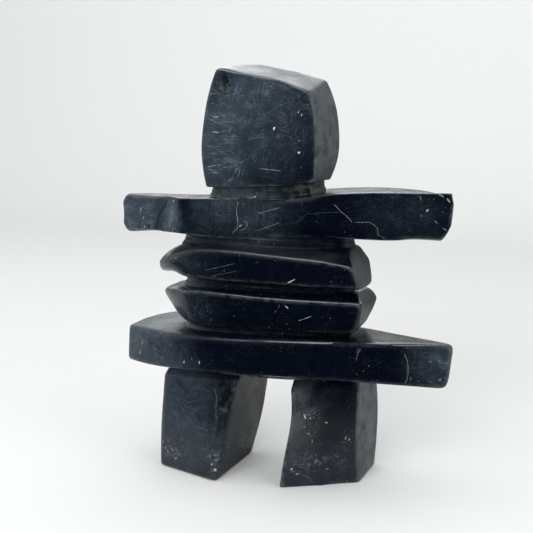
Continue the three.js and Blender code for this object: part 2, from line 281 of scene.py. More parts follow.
necks = [
    neck(
        "bridge",
        [(-71, 2), (-60, -19), (-30, -29), (20, -27), (50, -12), (53, 22), (30, 33), (-30, 35), (-70, 22)],
        low=70, high=80, flare=0, seed=1,
    ),
    neck(
        "hip_neck",
        [(-60, -2), (-50, -20), (-30, -24), (30, -23), (45, -15), (45, 14), (32, 22), (-34, 23), (-57, 16)],
        low=94, high=104, flare=4, seed=20,
    ),
    neck(
        "waist_neck",
        [(-63, 0), (-54, -15), (-34, -19), (36, -18), (50, -10), (47, 14), (34, 22), (-34, 24), (-60, 16)],
        low=119, high=131, flare=3, seed=30,
    ),
    neck(
        "chest_neck",
        [(-65, 2), (-56, -9), (-36, -12), (20, -12), (47, -4), (46, 14), (34, 22), (-34, 24), (-62, 16)],
        low=145, high=158, flare=3, seed=40,
    ),
    neck(
        "head_neck",
        [(-43, 2), (-42, -5), (-32, -8), (15, -7), (24, 0), (24.5, 20), (18, 26), (-34, 26), (-42, 19)],
        low=176, high=190, flare=3.5, seed=50,
    ),
]


def carve(base, parts, operation):
    """Joins the parts to the base, or cuts them out of it, and returns the result as a new object."""
    for part in parts:
        step = base.modifiers.new(part.name, "BOOLEAN")
        step.operation = operation
        step.solver = "MANIFOLD"
        step.object = part
    solid = base.evaluated_get(bpy.context.evaluated_depsgraph_get())
    result = bpy.data.objects.new(base.name, bpy.data.meshes.new_from_object(solid))
    bpy.context.scene.collection.objects.link(result)
    for used in [base, *parts]:
        bpy.data.objects.remove(used)
    return result


carving = carve(hips, [left_leg, right_leg, lower_waist, upper_waist, arms, head, *necks], "UNION")

# The faces were shaped by hand, so they wander a little. The wander only takes stone away.
WANDER = ((30, 0.28), (12, 0.12), (5, 0.04))  # length and depth in mm of each size of wave
SOLE = 3  # mm above the ground in which the wander fades out, so that the soles stay flat

moved = []
for vertex in carving.data.vertices:
    place = vertex.co / MM
    depth = sum(deep * (0.5 + 0.5 * noise.noise(place / length)) for length, deep in WANDER)
    ground = min(max(place.z / SOLE, 0), 1)
    moved.append(vertex.co - vertex.normal * depth * ground * MM)
carving.data.vertices.foreach_set("co", np.ravel(moved))
carving.data.update()

# Marks. Each is cut out of the stone by a small tool, and its floor keeps the mark's shade: from -1 for
# dark grime, which in the cracks and gouges is also painted shade, to 1 for fresh white stone.
FAR = 300  # mm, well outside the carving
# For each side: the direction that counts as across, the start of a sight line, and its heading.
SIDES = {
    "front": (Vector((1, 0, 0)), Vector((0, -FAR, 0)), Vector((0, 1, 0))),
    "right": (Vector((0, 1, 0)), Vector((FAR, 0, 0)), Vector((-1, 0, 0))),
}
UP = Vector((0, 0, 1))
STRAY_SEED = 3
GROOVE_STEP = 0.8  # mm along a groove from one of its rings to the next
STRAY_LENGTH = 2.2  # mm from bend to bend where a groove strays from its path
PINCH_LENGTH = 1.7  # mm from a wide place of a groove to a narrow one
noise.seed_set(STRAY_SEED)  # noise_vector draws from this seed
surface = BVHTree.FromObject(carving, bpy.context.evaluated_depsgraph_get())


def land(across, height, side="front"):
    """The point of the surface at this place in mm, seen square from one side, and the normal there."""
    axis, start, heading = SIDES[side]
    point, normal, _, _ = surface.ray_cast((axis * across + UP * height + start) * MM, heading)
    return point / MM, normal


def outward(points, faces):
    """The same faces, turned so that they point out of the closed shape."""
    volume = sum(points[f[0]].dot(points[a].cross(points[b])) for f in faces for a, b in zip(f[1:], f[2:]))
    return faces if volume > 0 else [face[::-1] for face in faces]


def tool(name, bites):
    """One cutting tool for several bites that don't touch each other. A bite is points, faces and shade."""
    points, faces, shades = [], [], []
    for bite_points, bite_faces, mark in bites:
        faces += [[len(points) + v for v in face] for face in outward(bite_points, bite_faces)]
        points += bite_points
        shades += [mark] * len(bite_faces)
    made = new_object(name, points, faces, raw=0)
    made.data.attributes["mark"].data.foreach_set("value", shades)
    return made


def groove(path, width, depth, mark, wander=0.25):
    """The bite for a scratch, a crack or a vein along a path of places on the front, all in mm."""
    spots = []
    for (x0, z0), (x1, z1) in zip(path, path[1:]):
        pieces = max(round(math.hypot(x1 - x0, z1 - z0) / GROOVE_STEP), 1)
        spots += [(x0 + (x1 - x0) * i / pieces, z0 + (z1 - z0) * i / pieces) for i in range(pieces)]
    spots.append(path[-1])
    landed = []
    for x, z in spots:
        stray = noise.noise_vector(Vector((x, 0, z)) / STRAY_LENGTH) * wander
        landed.append(land(x + stray.x, z + stray.z))
    points = []
    for i, (point, normal) in enumerate(landed[1:-1], 1):
        side = normal.cross(landed[i + 1][0] - landed[i - 1][0]).normalized() * width / 2
        side *= 0.75 + 0.5 * noise.noise(point / PINCH_LENGTH)
        points += [point + side, point - normal * depth, point - side, point + normal * depth]
    rows = len(points) // 4
    points += [landed[0][0], landed[-1][0]]
    faces = []
    for c in range(4):
        after = (c + 1) % 4
        faces.append([4 * rows, after, c])
        faces.append([4 * rows + 1, 4 * rows - 4 + c, 4 * rows - 4 + after])
        for r in range(rows - 1):
            faces.append([4 * r + c, 4 * r + after, 4 * r + 4 + after, 4 * r + 4 + c])
    return points, faces, mark


CHIP_ROWS, CHIP_STEPS = 5, 8  # faces of a chip's lump along it and round it
LUMPS, LUMP_DEPTH = 1.7, 0.28  # how close together the lumps on it are, and how high


def chip(across, height, length, width, depth, turn, mark, side="front"):
    """The bite for a nick, a pit or a chip: a rough lump that dips in. turn is in degrees from level."""
    point, normal = land(across, height, side)
    along = SIDES[side][0] * math.cos(math.radians(turn)) + UP * math.sin(math.radians(turn))
    cross = normal.cross(along).normalized()
    along = cross.cross(normal)
    thick = max(width, 2 * depth)
    points, faces = [], []
    for row in range(1, CHIP_ROWS):
        lift = math.pi * row / CHIP_ROWS
        for step in range(CHIP_STEPS):
            spin = 2 * math.pi * step / CHIP_STEPS
            reach = math.sin(lift)
            ball = Vector((math.cos(lift), reach * math.cos(spin), reach * math.sin(spin)))
            ball *= 1 + LUMP_DEPTH * noise.noise(ball * LUMPS + point)
            points.append(ball)
    points += [Vector((1, 0, 0)), Vector((-1, 0, 0))]
    last = (CHIP_ROWS - 2) * CHIP_STEPS
    for step in range(CHIP_STEPS):
        after = (step + 1) % CHIP_STEPS
        faces.append([len(points) - 2, step, after])
        faces.append([len(points) - 1, last + after, last + step])
        for here in range(0, last, CHIP_STEPS):
            over = here + CHIP_STEPS
            faces.append([here + step, over + step, over + after, here + after])
    centre = point + normal * (thick / 2 - depth)
    placed = []
    for p in points:
        lengthwise = along * p.x * length / 2
        sideways = cross * p.y * width / 2
        placed.append(centre + lengthwise + sideways + normal * p.z * thick / 2)
    return placed, faces, mark


PALE, DARK = 0.9, -1

# Each groove: the path, its width and depth, its shade and how far it strays.
grooves = [
    # The fissure at the step of the left arm, its floor painted dark as shade in the crack.
    groove([(-73, 174), (-76, 168), (-79, 164), (-81, 159), (-82, 153.5)], 0.9, 0.9, -0.6, 0.6),
    # Green-white veins in the arms.
    groove([(-24, 175), (-25, 168.5), (-24, 162.5), (-24.5, 158), (-28, 154.5)], 0.32, 0.12, 0.5),
    groove([(-21, 161.5), (-18.5, 162.5), (-18, 160), (-20, 157.5), (-22.5, 157)], 0.3, 0.12, 0.45),
    groove([(36.5, 175), (41, 170.5), (44, 168.5), (47.5, 165)], 0.34, 0.12, 0.42),
    groove([(49, 165), (58, 165.5), (62.5, 162.5), (63.5, 158), (67.5, 156)], 0.28, 0.1, 0.4),
    groove([(13, 163), (19.5, 168.5), (30, 170), (40, 170.5)], 0.2, 0.08, 0.22),
    # Scratches on the arms.
    groove([(-11.5, 167.5), (2.5, 171.5)], 0.28, 0.08, 0.4, 0.1),
    groove([(-13.5, 156.5), (2.5, 162.5)], 0.3, 0.1, 0.35, 0.1),
    # Scratches on the head.
    groove([(-11, 194.5), (3, 193.5)], 0.3, 0.1, 0.5, 0.1),
    groove([(-37, 222), (-24.5, 222)], 0.25, 0.08, 0.35, 0.1),
    groove([(-41.5, 225), (-36.5, 225)], 0.4, 0.12, 0.6, 0.1),
    groove([(-41.5, 216), (-36.5, 215.5)], 0.5, 0.12, 0.6, 0.1),
    groove([(-18.5, 211.5), (-12, 213), (-7, 213.5)], 0.25, 0.08, 0.3, 0.1),
    groove([(-8, 226), (0, 231), (8, 234)], 0.25, 0.08, 0.25, 0.1),
    # Scratches on the waist.
    groove([(12, 128.8), (17, 131.5)], 0.7, 0.2, PALE, 0.1),
    groove([(-41, 133), (-21, 138.5)], 0.25, 0.08, 0.3, 0.1),
    groove([(-38, 129.5), (-20, 134)], 0.25, 0.08, 0.25, 0.1),
    groove([(19.5, 107), (28, 110.5)], 0.35, 0.1, 0.5, 0.1),
    # Veins in the hips.
    groove([(83, 93), (85, 88.5), (85.5, 80.5), (84, 75)], 0.28, 0.1, 0.4),
    groove([(59, 95), (57, 91), (56, 87)], 0.3, 0.1, 0.3),
    # The pale line down the left leg.
    groove([(-35.5, 60), (-33, 54.5), (-33.5, 47), (-33, 39)], 0.3, 0.12, 0.35),
]
# Each chip: across and height, length, width and depth, its turn and its shade.
chips = [
    # Head.
    chip(-1.5, 218.5, 2.2, 1.5, 0.4, 70, PALE),
    chip(14, 204.5, 2, 1.6, 0.4, 20, PALE),
    chip(13.5, 228, 1.6, 0.6, 0.2, 60, 0.6),
    chip(15.5, 226.5, 1.8, 0.6, 0.2, 75, 0.6),
    chip(14, 211.5, 0.9, 0.7, 0.2, 0, 0.6),
    chip(-32, 248, 2.4, 1.2, 0.4, 70, DARK),
    chip(-29.6, 243.6, 2, 1, 0.3, 120, DARK),
    chip(2, 228.5, 1, 0.8, 0.3, 0, 0.6, "right"),
    chip(14, 216.5, 1, 0.7, 0.3, 0, 0.6, "right"),
    # Arms.
    chip(-68, 173, 1.1, 0.8, 0.3, 0, PALE),
    chip(-14, 177.5, 1.2, 1, 0.4, 0, PALE),
    chip(-22.5, 159.5, 4.6, 3.4, 0.25, 40, 0.45),
    chip(91, 173.5, 2.2, 1.2, 0.4, 50, 0.55),
    chip(87, 180.5, 2.6, 0.8, 0.3, 110, 0.3),
    chip(98, 182.5, 5, 1, 0.4, -30, 0.4),
    chip(102.5, 179.5, 3.4, 1.1, 0.4, -50, 0.42),
    chip(96, 167, 3.6, 1.1, 0.25, -40, 0.25),
    chip(101, 163, 3.2, 1.1, 0.25, -30, 0.28),
    chip(-94, 166, 3.2, 0.7, 0.25, 80, 0.5),
    chip(-92.5, 160.5, 2.6, 0.6, 0.2, 100, 0.5),
    chip(-91.5, 155, 2.4, 0.6, 0.25, 80, 0.6),
    # Waist.
    chip(-63, 138.5, 1, 0.8, 0.3, 0, 0.7),
    chip(12.8, 115, 2.8, 0.8, 0.3, -40, 0.7),
    # Hips.
    chip(-87, 82.5, 2.4, 0.6, 0.25, 70, 0.7),
    chip(-89, 76, 2.8, 0.6, 0.25, 75, 0.7),
    chip(-51.5, 77, 2.2, 1, 0.3, 80, 0.6),
    chip(-40.5, 78.3, 2.2, 0.9, 0.3, 95, 0.6),
    chip(97.5, 88.5, 1, 0.7, 0.25, 0, 0.4),
    chip(102.5, 89, 1.2, 0.6, 0.25, 30, 0.4),
    chip(103, 78, 3, 2, 0.3, 20, 0.25),
    # Left leg: the broken corner under the hips, its hollow painted dark as grime and shade, then nicks
    # near the foot.
    chip(-27, 57, 17, 7, 3, 78, -0.6),
    chip(-73.5, 13, 2, 0.6, 0.25, 60, 0.6),
    chip(-71.5, 11, 2.2, 0.6, 0.25, 100, 0.6),
    chip(-68, 12.5, 1.8, 0.5, 0.25, 70, 0.5),
    chip(-65, 8, 2, 0.7, 0.25, 20, 0.6),
    chip(-36, 11, 2.2, 1, 0.3, 50, 0.6),
    chip(-33.5, 8, 2.4, 1.4, 0.4, 120, 0.7),
    chip(-75.5, 16.5, 3, 0.5, 0.2, 80, 0.5),
    chip(-62, 11, 2.2, 0.5, 0.2, 30, 0.5),
    chip(-37.5, 16, 2.8, 0.5, 0.2, 75, 0.5),
    # Right leg.
    chip(20.8, 45, 4, 0.8, 0.3, -58, PALE),
    chip(23.4, 43.2, 1.8, 0.6, 0.2, 5, 0.6),
    chip(20.6, 38, 1.6, 0.6, 0.2, 30, 0.5),
    chip(22.6, 33.5, 2.6, 0.6, 0.2, -25, 0.5),
    chip(32, 39.5, 1.3, 0.9, 0.3, 0, PALE),
    chip(24.5, 28, 1.6, 0.5, 0.2, 50, 0.5),
    chip(43, 29, 1.9, 0.6, 0.25, 80, 0.7),
    chip(45, 28, 1.8, 0.5, 0.25, 60, 0.6),
    chip(14, 12, 2.2, 1.6, 0.3, 40, 0.6),
    chip(17, 8.5, 2.4, 1, 0.3, 10, 0.5),
    chip(27, 15, 3.4, 0.5, 0.25, 35, 0.4),
    chip(33, 10, 2.6, 0.5, 0.25, 12, 0.4),
]
# More bites at the broken corner of the left leg, over the first, also painted dark as grime and shade.
second_bites = [
    chip(-29, 63.5, 7, 4, 1.8, 25, -0.5),
    chip(-24.5, 51, 9, 3.4, 1.6, 84, -0.45),
    chip(-31, 51, 9, 2, 1.2, 74, -0.3),
    chip(-24, 60, 6, 3, 1.4, 110, -0.35),
]
tools = [tool("graver", grooves), tool("punch", chips), tool("chisel", second_bites)]
carving = carve(carving, tools, "DIFFERENCE")

# Small nicks from use, scattered over every side.
nicks = bpy.data.node_groups.new("nicks", "GeometryNodeTree")
nicks.interface.new_socket("Geometry", in_out="INPUT", socket_type="NodeSocketGeometry")
for label in ["Spacing", "Density", "Width", "Shortest", "Longest"]:
    nicks.interface.new_socket(label, in_out="INPUT", socket_type="NodeSocketFloat")
nicks.interface.new_socket("Seed", in_out="INPUT", socket_type="NodeSocketInt")
nicks.interface.new_socket("Material", in_out="INPUT", socket_type="NodeSocketMaterial")
nicks.interface.new_socket("Geometry", in_out="OUTPUT", socket_type="NodeSocketGeometry")


def step(kind, feeds, **settings):
    """A node of the nicks' tree. feeds maps a socket's name or number to a value or to a socket."""
    made = nicks.nodes.new(kind)
    for name, value in settings.items():
        setattr(made, name, value)
    for key, feed in feeds.items():
        if isinstance(feed, bpy.types.NodeSocket):
            nicks.links.new(feed, made.inputs[key])
        else:
            made.inputs[key].default_value = feed
    return made


given = step("NodeGroupInput", {}).outputs
scatter = step("GeometryNodeDistributePointsOnFaces", {
    "Mesh": given["Geometry"],
    "Distance Min": given["Spacing"],
    "Density Max": given["Density"],
    "Density Factor": step("GeometryNodeInputNamedAttribute", {"Name": "wear"}).outputs["Attribute"],
    "Seed": given["Seed"],
}, distribute_method="POISSON")
spin = step("FunctionNodeRandomValue", {2: 0.0, 3: math.pi, "Seed": 1})
spun = step("FunctionNodeAxisAngleToRotation", {"Angle": spin.outputs[1]})
turns = {0: scatter.outputs["Rotation"], 1: spun.outputs[0]}
lie = step("FunctionNodeRotateRotation", turns, rotation_space="LOCAL")
length = step("FunctionNodeRandomValue", {2: given["Shortest"], 3: given["Longest"], "Seed": 2}).outputs[1]
size = step("ShaderNodeCombineXYZ", {0: length, 1: given["Width"], 2: given["Width"]})
lump = step("GeometryNodeMeshIcoSphere", {"Radius": 0.5, "Subdivisions": 2})
placed = step("GeometryNodeInstanceOnPoints", {
    "Points": scatter.outputs["Points"],
    "Instance": lump.outputs["Mesh"],
    "Rotation": lie.outputs[0],
    "Scale": size.outputs[0],
})
real = step("GeometryNodeRealizeInstances", {0: placed.outputs[0]})
coated = step("GeometryNodeSetMaterial", {0: real.outputs[0], "Material": given["Material"]})
step("NodeGroupOutput", {0: coated.outputs[0]})

WORN_PATCH, WORN_SPOT = 17, 6  # mm across, where the nicks lie closer together
stone = bpy.data.materials.new("serpentine")
wear = carving.data.attributes.new("wear", "FLOAT", "POINT")
for vertex, worn in zip(carving.data.vertices, wear.data):
    place = vertex.co / MM
    patch = noise.noise(place / WORN_PATCH) + 0.5 * noise.noise(place / WORN_SPOT)
    worn.value = min(max(patch * 1.8 - 0.1, 0), 1)
picker = carving.copy()
bpy.context.scene.collection.objects.link(picker)
peck = picker.modifiers.new("nicks", "NODES")
peck.node_group = nicks
settings = {
    "Spacing": 3.2 * MM,
    "Density": 11000.0,  # nicks to the square metre where the wear is worst
    "Width": 0.28 * MM,
    "Shortest": 0.5 * MM,
    "Longest": 3 * MM,
    "Seed": 7,
    "Material": stone,
}
for item in nicks.interface.items_tree:
    if item.name in settings:
        peck[item.identifier] = settings[item.name]
pecks = bpy.data.meshes.new_from_object(picker.evaluated_get(bpy.context.evaluated_depsgraph_get()))
bpy.data.objects.remove(picker)

NICK_SHADE = 0.32
peck_points = [vertex.co / MM for vertex in pecks.vertices]
peck_faces = [list(polygon.vertices) for polygon in pecks.polygons]
pecker = tool("pecker", [(peck_points, peck_faces, NICK_SHADE)])
carving = carve(carving, [pecker], "DIFFERENCE")

SHARP_BEND = 38  # degrees; a stronger bend is shaded as an edge
for polygon in carving.data.polygons:
    polygon.use_smooth = True
carving.data.set_sharp_from_angle(angle=math.radians(SHARP_BEND))

# The rim of every mark is sharp, so that the faces around it stay smooth.
loop_edges = np.array([loop.edge_index for loop in carving.data.loops])
loop_marks = np.repeat(
    [m.value for m in carving.data.attributes["mark"].data],
    [p.loop_total for p in carving.data.polygons],
)
least = np.full(len(carving.data.edges), np.inf)
most = np.full(len(carving.data.edges), -np.inf)
np.minimum.at(least, loop_edges, loop_marks)
np.maximum.at(most, loop_edges, loop_marks)
for edge, rim in zip(carving.data.edges, most > least):
    edge.use_edge_sharp = edge.use_edge_sharp or bool(rim)


# Soft masks on the points of the mesh, for the finish: raw stone, rubbed edges and the right-hand ends.
def spread(values, pairs, rounds):
    """The values after rounds in which each point takes the mean of itself and its neighbours."""
    count = len(values)
    weight = 1 + np.bincount(pairs[:, 0], minlength=count) + np.bincount(pairs[:, 1], minlength=count)
    for _ in range(rounds):
        gained = np.bincount(pairs[:, 0], values[pairs[:, 1]], count)
        gained += np.bincount(pairs[:, 1], values[pairs[:, 0]], count)
        values = (values + gained) / weight
    return values


def ramp(values, low, high):
    """0 up to low, 1 from high on, and a smooth rise between them."""
    t = np.clip((values - low) / (high - low), 0, 1)
    return t * t * (3 - 2 * t)


def store(name, values):
    """Keeps the values on the points of the carving, where the finish reads them."""
    carving.data.attributes.new(name, "FLOAT", "POINT").data.foreach_set("value", values.astype(np.float32))


SHORTEST_EDGE = 0.05  # mm; shorter edges count as this long, as their bend can't be told
RIDGE_FROM, RIDGE_FULL = 0.03, 0.16  # how strongly an edge bends, per mm
END_FROM, END_FULL = 0.55, 0.85  # how squarely a face looks to the right

mesh = carving.data
places = np.array([v.co for v in mesh.vertices]) / MM
normals = np.array([v.normal for v in mesh.vertices])
pairs = np.array([e.vertices[:] for e in mesh.edges])  # the two points of every edge
rough = np.zeros(len(places))
for polygon, flag in zip(mesh.polygons, mesh.attributes["raw"].data):
    if flag.value:
        rough[list(polygon.vertices)] = 1

# The bend at each point: below 0 on a ridge, above 0 in a hollow, and 0 in a mark.
offset = places[pairs[:, 1]] - places[pairs[:, 0]]
length = np.maximum(np.linalg.norm(offset, axis=1), SHORTEST_EDGE)[:, None]
bend = np.bincount(pairs[:, 0], (normals[pairs[:, 0]] * offset / length**2).sum(1), len(places))
bend -= np.bincount(pairs[:, 1], (normals[pairs[:, 1]] * offset / length**2).sum(1), len(places))
bend /= np.bincount(pairs.ravel(), minlength=len(places))
for polygon, shade in zip(mesh.polygons, mesh.attributes["mark"].data):
    if shade.value:
        bend[list(polygon.vertices)] = 0

store("rough", spread(rough, pairs, rounds=2))
store("edge", ramp(-spread(bend, pairs, rounds=3), RIDGE_FROM, RIDGE_FULL))
store("ends", ramp(normals[:, 0], END_FROM, END_FULL))

stone.use_nodes = True
nodes = stone.node_tree


def put(kind, feeds=(), **settings):
    """A node of the stone. feeds maps a socket's name or number to a value or to a socket."""
    made = nodes.nodes.new(kind)
    for name, value in settings.items():
        setattr(made, name, value)
    for key, feed in dict(feeds).items():
        if isinstance(feed, bpy.types.NodeSocket):
            nodes.links.new(feed, made.inputs[key])
        else:
            made.inputs[key].default_value = feed
    return made


def sums(operation, first, second=0.0):
    """ADD, SUBTRACT or MULTIPLY of two values."""
    return put("ShaderNodeMath", {0: first, 1: second}, operation=operation).outputs[0]


def between(value, low, high, top=1.0):
    """0 where the value is low or less, top where it is high or more."""
    feeds = {"Value": value, 1: low, 2: high, 4: top}
    return put("ShaderNodeMapRange", feeds, interpolation_type="SMOOTHSTEP").outputs["Result"]


def mottle(size, detail, low, high, top=1.0, at=None, rough=0.55):
    """Patches about size mm across, where the noise passes from low to high."""
    feeds = {"Vector": at or spot, "Scale": 1 / size, "Detail": detail, "Roughness": rough}
    return between(put("ShaderNodeTexNoise", feeds).outputs["Fac"], low, high, top)


def blend(amount, under, over):
    """under, or over where the amount is 1."""
    return put("ShaderNodeMix", {0: amount, 6: under, 7: over}, data_type="RGBA").outputs[2]


def mask(name):
    """A value that the mesh keeps under this name."""
    return put("ShaderNodeAttribute", attribute_name=name).outputs["Fac"]


def strokes(turn, length, width, low, high, patch, seed):
    """Fine parallel lines left by sanding and handling, in patches. turn is in degrees from level."""
    feeds = {"Vector": bent, "Location": (seed, seed * 2, seed * 3), "Rotation": (0, math.radians(turn), 0)}
    turned = put("ShaderNodeMapping", feeds).outputs[0]
    drawn = {0: turned, 1: (1 / length, 1 / length, 1 / width)}
    drawn = put("ShaderNodeVectorMath", drawn, operation="MULTIPLY").outputs[0]
    lines = mottle(1, 2, low, high, at=drawn)
    return sums("MULTIPLY", lines, mottle(patch, 2, 0.45, 0.62, at=turned))


def total(values):
    """The sum of all the values."""
    result = values[0]
    for value in values[1:]:
        result = sums("ADD", result, value)
    return result


place = put("ShaderNodeTexCoord").outputs["Object"]
spot = put("ShaderNodeVectorMath", {0: place, 3: 1 / MM}, operation="SCALE").outputs[0]
split = put("ShaderNodeSeparateXYZ", {0: spot})
across, height = split.outputs[0], split.outputs[2]

# Lines drawn by hand are never quite straight: how far they stray, and over what length, in mm.
STRAY, STRAY_RUN = 4.5, 16
stray = put("ShaderNodeTexNoise", {"Vector": spot, "Scale": 1 / STRAY_RUN, "Detail": 1}).outputs["Color"]
stray = put("ShaderNodeVectorMath", {0: stray, 3: STRAY}, operation="SCALE").outputs[0]
bent = put("ShaderNodeVectorMath", {0: spot, 1: stray}, operation="ADD").outputs[0]

# The wax has dulled to a blue-grey bloom in places, and the same lighter blue-grey is also painted sheen
# where faces turn to the light on the left: the left ends of the arms and the hips, the left leg and the
# hollow at the arms' left end. For each: where its middle is, how far it reaches in X and in Z (all in mm),
# and how strong it is.
BLOOMS_AND_SHEEN = [
    ((-14, 230), (62, 62), 0.42),
    ((-40, 200), (30, 46), 0.36),
    ((-96, 162), (42, 40), 0.6),
    # painted highlight: the hollow at the left end of the arms, which turns towards the light on the left
    ((-69, 166), (9, 22), 0.55),
    ((-22, 165), (46, 24), 0.26),
    ((78, 172), (40, 26), 0.12),
    ((-62, 138), (40, 30), 0.12),
    ((-70, 108), (50, 24), 0.16),
    ((-92, 82), (56, 40), 0.5),
    ((104, 84), (28, 30), 0.42),
    ((-56, 34), (48, 62), 0.34),
    ((20, 10), (50, 32), 0.12),
]


def region(middle, reach, strength, edge=0.15, at=None):
    """A soft oval seen from the front: middle and reach in X and Z, in mm."""
    (x, z), (wide, tall) = middle, reach
    feeds = {"Vector": at or spot, "Location": (-x / wide, 0, -z / tall), "Scale": (1 / wide, 0, 1 / tall)}
    away = put("ShaderNodeVectorMath", {0: put("ShaderNodeMapping", feeds).outputs[0]}, operation="LENGTH")
    return between(away.outputs["Value"], 1, edge, strength)


# The end faces on the right were sanded but hardly waxed, so they are duller; their lighter grey is partly
# that bare stone and partly painted light from the right, stronger on the head and the legs. Only faces a
# few mm right of the middle get it, so the inner face of the left leg stays dark.
SIDE_LIGHT_FROM, SIDE_LIGHT_FULL = 2, 8  # X in mm
ends = mask("ends")
matte_and_side_light = sums("MULTIPLY", ends, between(across, SIDE_LIGHT_FROM, SIDE_LIGHT_FULL))

bloom_and_sheen_places = [region(*bloom_and_sheen) for bloom_and_sheen in BLOOMS_AND_SHEEN]
bloom_and_sheen_places = total([*bloom_and_sheen_places, sums("MULTIPLY", matte_and_side_light, 0.2)])
bloom_and_sheen = sums("MULTIPLY", bloom_and_sheen_places, sums("ADD", mottle(30, 3, 0.3, 0.68, 0.5), 0.5))
cloud = mottle(7, 6, 0.42, 0.70, rough=0.62)
bloom_and_sheen = sums("ADD", bloom_and_sheen, sums("MULTIPLY", cloud, sums("ADD", sums("MULTIPLY", bloom_and_sheen, 0.6), 0.012)))

DEEP = (0.0006, 0.0017, 0.0054, 1)  # waxed stone
# the bloom colour, which is dulled wax and also painted sheen
BLOOM_AND_SHEEN = (0.045, 0.066, 0.087, 1)  # dulled wax
# painted light: the right-hand ends are lighter grey, as if lit from the right, on top of their sanded
# finish
MATTE_AND_SIDE_LIGHT = (0.074, 0.086, 0.093, 1)  # stone sanded but hardly waxed, at the right-hand ends
LINE = (0.20, 0.25, 0.28, 1)  # a fine scratch
RUB = (0.16, 0.18, 0.18, 1)  # an edge that hands have rubbed pale
# the raw stone's olive; under the hips it is also painted reflection of the white floor
OLIVE = (0.075, 0.085, 0.066, 1)  # dust of the raw stone
CHALK = (0.42, 0.48, 0.45, 1)  # fresh broken stone
# grime, and the painted shade inside cracks and gouges
GRIME_AND_SHADE = (0.004, 0.005, 0.004, 1)

# Heights in mm between which the painted side light and the necks' olive change, from the neck to the head
# and from the hips to the legs.
NECK_TO, HEAD_FROM = 186, 196
HIPS_FROM, LEGS_TO = 74, 64

# Dulled wax and painted sheen over the waxed stone.
colour = blend(bloom_and_sheen, DEEP, BLOOM_AND_SHEEN)
# Painted side light: faces turned to the right are lighter on the head and the legs, where the light from
# the right falls on them.
side_light_amount = total([0.5, between(height, NECK_TO, HEAD_FROM, 0.7), between(height, HIPS_FROM, LEGS_TO, 0.6)])
side_light_amount = sums("MULTIPLY", side_light_amount, mottle(9, 5, 0.2, 0.7))
colour = blend(sums("MULTIPLY", matte_and_side_light, side_light_amount), colour, MATTE_AND_SIDE_LIGHT)

# Pale lines, and then wider dark ones where the wax has stayed.
scuffs = total([
    strokes(turn=6, length=6, width=0.42, low=0.57, high=0.74, patch=14, seed=3),
    strokes(turn=-24, length=9, width=0.4, low=0.57, high=0.74, patch=20, seed=11),
    strokes(turn=38, length=5, width=0.4, low=0.58, high=0.74, patch=12, seed=27),
    strokes(turn=74, length=5, width=0.42, low=0.58, high=0.74, patch=14, seed=41),
])
shadows = total([
    strokes(turn=86, length=12, width=0.8, low=0.52, high=0.68, patch=24, seed=58),
    strokes(turn=-8, length=9, width=0.7, low=0.54, high=0.70, patch=22, seed=71),
])
colour = blend(sums("MULTIPLY", shadows, 0.65), colour, DEEP)

# Places where handling has rubbed it most: their middle and reach in X and Z, in mm, and how much.
RUBBED = [
    ((-34, 195), (26, 15), 0.6),
    ((-36, 230), (16, 30), 0.2),
    ((8, 222), (16, 20), 0.12),
    ((23, 42), (8, 22), 0.6),
    ((26, 16), (22, 14), 0.55),
    ((44, 28), (6, 10), 0.4),
    ((-32, 14), (12, 20), 0.5),
    ((-52, 30), (30, 40), 0.16),
    ((-70, 11), (12, 9), 0.4),
    ((-92, 163), (14, 16), 0.2),
    ((102, 82), (10, 14), 0.25),
]
rubbed = total([region(*place) for place in RUBBED])
scratched = sums("MULTIPLY", scuffs, total([sums("MULTIPLY", bloom_and_sheen, 0.6), rubbed, 0.025]))
colour = blend(scratched, colour, LINE)

# Pale mineral flecks, and edges rubbed pale.
FLECK_PITCH = 3.1  # mm from fleck to fleck
flecks = put("ShaderNodeTexVoronoi", {"Vector": spot, "Scale": 1 / FLECK_PITCH}).outputs["Distance"]
flecks = sums("MULTIPLY", between(flecks, 0.09, 0.05), mottle(15, 3, 0.5, 0.65))
colour = blend(sums("MULTIPLY", flecks, 0.55), colour, CHALK)
edge = sums("MULTIPLY", mask("edge"), mottle(5, 5, 0.3, 0.62))
colour = blend(sums("MULTIPLY", edge, 0.32), colour, RUB)

# The raw stone of the necks keeps its dust, mostly under the right of the head. Under the hips the olive is
# stronger, partly the raw stone and partly painted reflection of the white floor on the strip that faces
# down.
rough = mask("rough")
bruise = sums("MULTIPLY", between(height, 172, 178), sums("ADD", between(across, 6, 19, 0.6), 0.1))
dust_and_floor_reflection = total([0.03, bruise, between(height, 80, HIPS_FROM, 0.75)])
raw_olive_and_reflection = sums("MULTIPLY", sums("MULTIPLY", rough, dust_and_floor_reflection), mottle(5, 6, 0.40, 0.60))
colour = blend(raw_olive_and_reflection, colour, OLIVE)

# A dark stain with a ragged rim at the head's top left: its middle and reach in X and Z, in mm.
STAIN_MIDDLE, STAIN_REACH = (-28.2, 250), (2.9, 6.4)
STAIN_RAGS, STAIN_RAG_SIZE = 9.0, 2.4
rags = {"Vector": spot, "Scale": 1 / STAIN_RAG_SIZE, "Detail": 4, "Roughness": 0.7}
rags = put("ShaderNodeTexNoise", rags).outputs["Color"]
rags = put("ShaderNodeVectorMath", {0: rags, 3: STAIN_RAGS}, operation="SCALE").outputs[0]
ragged = put("ShaderNodeVectorMath", {0: spot, 1: rags}, operation="ADD").outputs[0]
stain = region(STAIN_MIDDLE, STAIN_REACH, 0.85, 0.45, ragged)
colour = blend(stain, colour, GRIME_AND_SHADE)

# The floors of the cut marks: pale where the stone is fresh, dark where grime is, and in cracks and gouges
# that dark is also painted shade.
mark = mask("mark")
colour = blend(between(mark, 0, 1), colour, CHALK)
colour = blend(between(mark, 0, -1), colour, GRIME_AND_SHADE)

